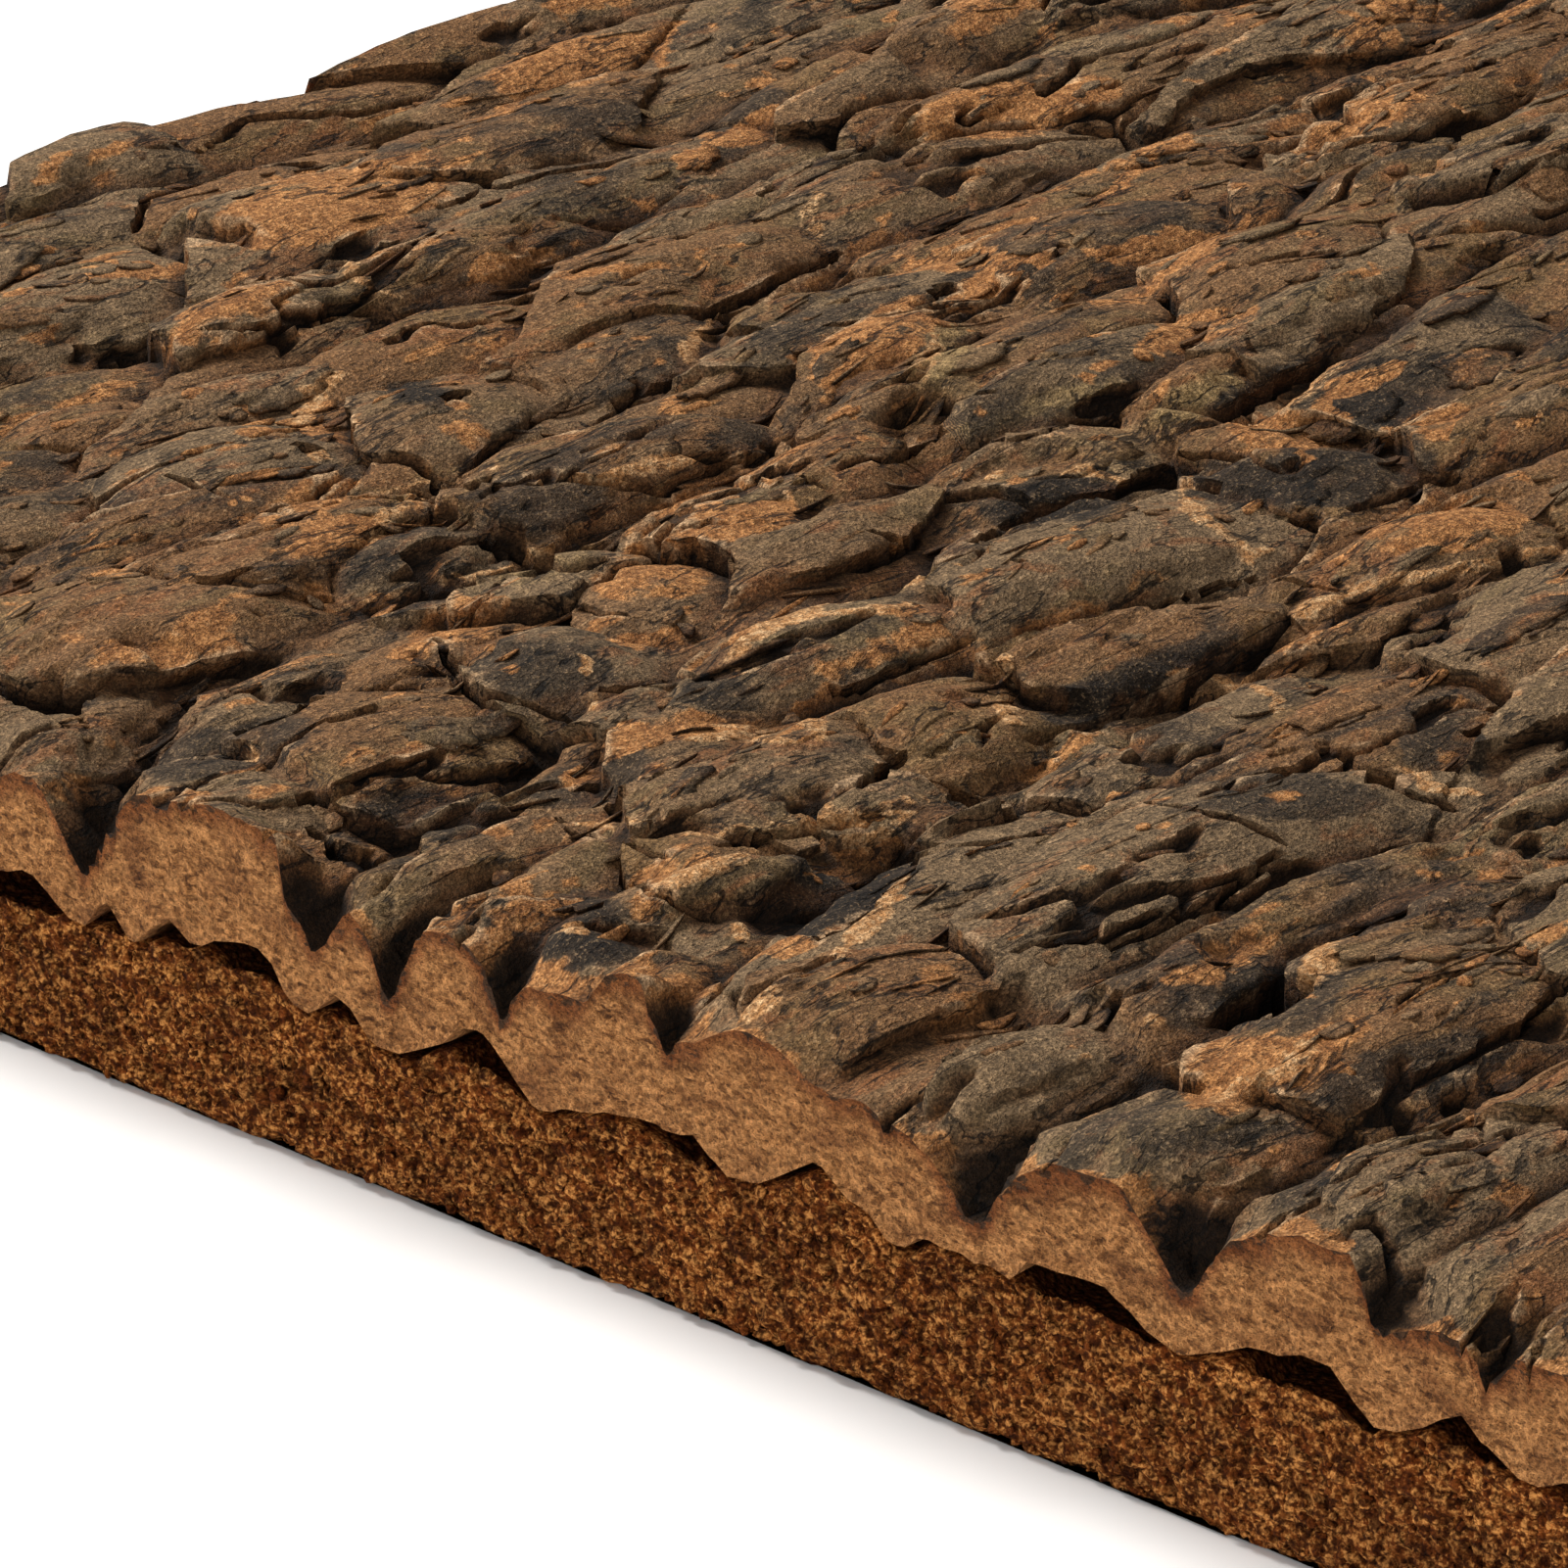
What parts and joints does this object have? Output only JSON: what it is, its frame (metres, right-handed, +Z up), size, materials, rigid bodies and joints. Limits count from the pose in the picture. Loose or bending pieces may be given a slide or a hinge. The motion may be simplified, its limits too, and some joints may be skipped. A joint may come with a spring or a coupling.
{
  "type": "cork bark panel",
  "caption": "Square panel of rough furrowed cork bark bonded on a granulated cork core, with cut edges that show both layers; lies flat or is fixed by its back.",
  "frame": {"origin": "centre of the panel on its flat back, which is the bottom of the core", "axes": "+X across the grain along the cut front edge, +Y along the grain away from that edge, +Z up through the crust"},
  "size_m": [0.3, 0.3, 0.0304],
  "materials": {
    "bark_crust": "rough weathered cork bark",
    "cork_granules": "rough pressed cork granules"
  },
  "bodies": {
    "root": {"cork_bark": "bark_crust", "granulated_cork_core": "cork_granules"}
  },
  "joints": []
}
